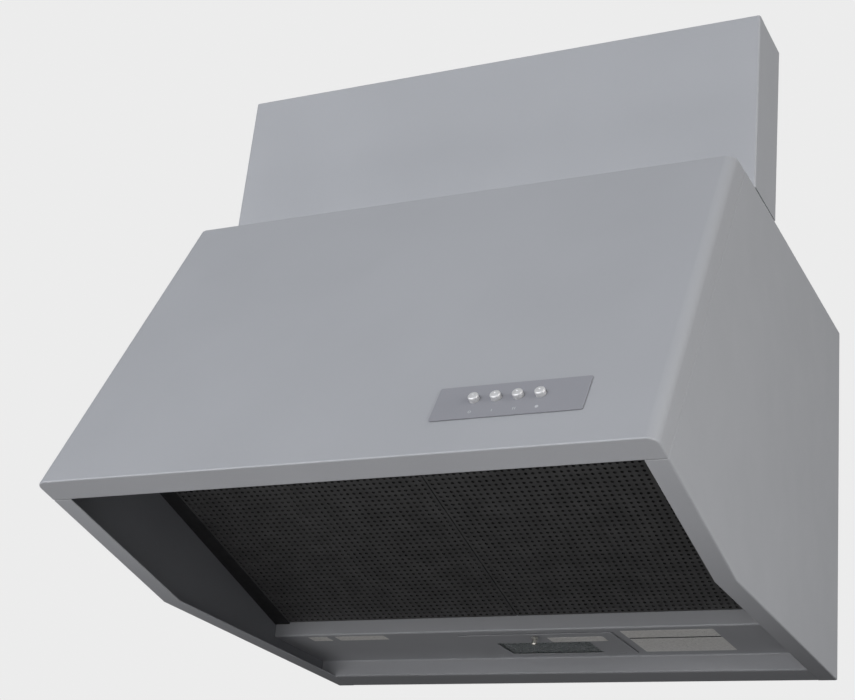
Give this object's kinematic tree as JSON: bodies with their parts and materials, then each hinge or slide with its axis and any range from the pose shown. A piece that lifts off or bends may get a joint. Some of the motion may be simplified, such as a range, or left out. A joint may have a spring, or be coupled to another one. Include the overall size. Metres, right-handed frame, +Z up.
{
  "type": "under cabinet range hood",
  "caption": "Deep slanted canopy range hood with an upper curtain panel, perforated grease filters that drop down, push buttons, a recessed lamp, a scroll fan and a duct collar.",
  "frame": {"origin": "on the wall plane at the back plate's outer face, on the hood's middle line, halfway up the 400 mm body", "axes": "+X to the right seen from the front, +Y into the wall, +Z up; the front faces -Y"},
  "size_m": [0.6, 0.59, 0.602],
  "materials": {
    "silver_paint": "satin silver-grey powder coat with a faint metallic mottle",
    "galvanised_sheet": "zinc-coated sheet, dull spangle",
    "black_paint": "semi-matte black enamel",
    "filter_black": "black coated perforated aluminium",
    "filter_mesh": "dark expanded aluminium mesh",
    "button_metal": "satin metallic, slightly domed",
    "plate_film": "thin grey-silver film plate",
    "zinc_plating": "bright zinc plating",
    "dark_plastic": "moulded black plastic",
    "grey_plastic": "moulded grey plastic",
    "motor_enamel": "dark grey enamel",
    "frosted_glass": "frosted pane",
    "bulb_glass": "opal glass",
    "lead_sheath": "grey-white lead sheath"
  },
  "bodies": {
    "hood": {"back_plate": "galvanised_sheet", "collar_screw_1": "zinc_plating", "collar_screw_2": "zinc_plating", "collar_screw_3": "zinc_plating", "collar_screw_4": "zinc_plating", "curtain_bracket_left": "galvanised_sheet", "curtain_bracket_right": "galvanised_sheet", "curtain_panel": "silver_paint", "curtain_screw_left": "zinc_plating", "curtain_screw_right": "zinc_plating", "duct_collar": "galvanised_sheet", "fan_casing": "galvanised_sheet", "fan_motor": "motor_enamel", "filter_catch_left": "dark_plastic", "filter_catch_right": "dark_plastic", "filter_hinge_rod": "zinc_plating", "filter_rail_left": "black_paint", "filter_rail_right": "black_paint", "front_liner": "black_paint", "front_panel": "silver_paint", "inlet_ring": "galvanised_sheet", "lamp_bulb": "bulb_glass", "lamp_housing": "galvanised_sheet", "lamp_lead": "lead_sheath", "lamp_socket": "dark_plastic", "mains_gland": "dark_plastic", "motor_capacitor": "grey_plastic", "motor_lead": "lead_sheath", "rear_trough": "silver_paint", "side_panel_left": "silver_paint", "side_panel_right": "silver_paint", "switch_block": "dark_plastic", "switch_bracket": "galvanised_sheet", "switch_lead": "lead_sheath", "switch_plate": "plate_film", "switch_screw_left": "zinc_plating", "switch_screw_right": "zinc_plating", "terminal_block": "dark_plastic", "terminal_box": "grey_plastic", "terminal_lid": "grey_plastic", "top_plate": "galvanised_sheet"},
    "fan": {"fan_impeller": "galvanised_sheet", "impeller_hub": "galvanised_sheet", "impeller_nut": "dark_plastic", "motor_shaft": "zinc_plating"},
    "damper": {"damper_flap": "galvanised_sheet", "damper_pin": "zinc_plating"},
    "filter_left": {"filter_frame_left": "filter_black", "filter_screen_left": "filter_black", "filter_pad_left": "filter_mesh"},
    "filter_right": {"filter_frame_right": "filter_black", "filter_screen_right": "filter_black", "filter_pad_right": "filter_mesh"},
    "lamp_door": {"lamp_cover": "silver_paint", "lamp_window": "frosted_glass"},
    "thumbscrew": {"lamp_thumbscrew": "zinc_plating"},
    "button_off": {"button_off": "button_metal"},
    "button_low": {"button_low": "button_metal"},
    "button_high": {"button_high": "button_metal"},
    "button_light": {"button_light": "button_metal"}
  },
  "joints": [
    {"name": "fan_spin", "type": "hinge", "parent": "hood", "child": "fan", "pos_m": [-0.074, -0.098, 0.018], "axis": [0, 1, 0], "continuous": true},
    {"name": "damper_swing", "type": "hinge", "parent": "hood", "child": "damper", "pos_m": [0, -0.082, 0.225], "axis": [-1, 0, 0], "range_deg": [0, 80]},
    {"name": "filter_left_drop", "type": "hinge", "parent": "hood", "child": "filter_left", "pos_m": [-0.14, -0.49962, -0.06498], "axis": [-1, 0, 0], "range_deg": [0, 60]},
    {"name": "filter_right_drop", "type": "hinge", "parent": "hood", "child": "filter_right", "pos_m": [0.14, -0.49962, -0.06498], "axis": [-1, 0, 0], "range_deg": [0, 60]},
    {"name": "lamp_door_swing", "type": "hinge", "parent": "hood", "child": "lamp_door", "pos_m": [0.011, -0.057, -0.1813], "axis": [1, 0, 0], "range_deg": [0, 70]},
    {"name": "thumbscrew_turn", "type": "hinge", "parent": "lamp_door", "child": "thumbscrew", "pos_m": [0.011, -0.137, -0.184], "axis": [0, 0, 1], "continuous": true},
    {"name": "button_off_press", "type": "slide", "parent": "hood", "child": "button_off", "axis": [0, 0.8944, -0.4472], "range_m": [0, 0.0025], "stiffness_N_per_m": 200, "springref_m": -0.002},
    {"name": "button_low_press", "type": "slide", "parent": "hood", "child": "button_low", "axis": [0, 0.8944, -0.4472], "range_m": [0, 0.0025], "stiffness_N_per_m": 200, "springref_m": -0.002},
    {"name": "button_high_press", "type": "slide", "parent": "hood", "child": "button_high", "axis": [0, 0.8944, -0.4472], "range_m": [0, 0.0025], "stiffness_N_per_m": 200, "springref_m": -0.002},
    {"name": "button_light_press", "type": "slide", "parent": "hood", "child": "button_light", "axis": [0, 0.8944, -0.4472], "range_m": [0, 0.0025], "stiffness_N_per_m": 200, "springref_m": -0.002}
  ]
}
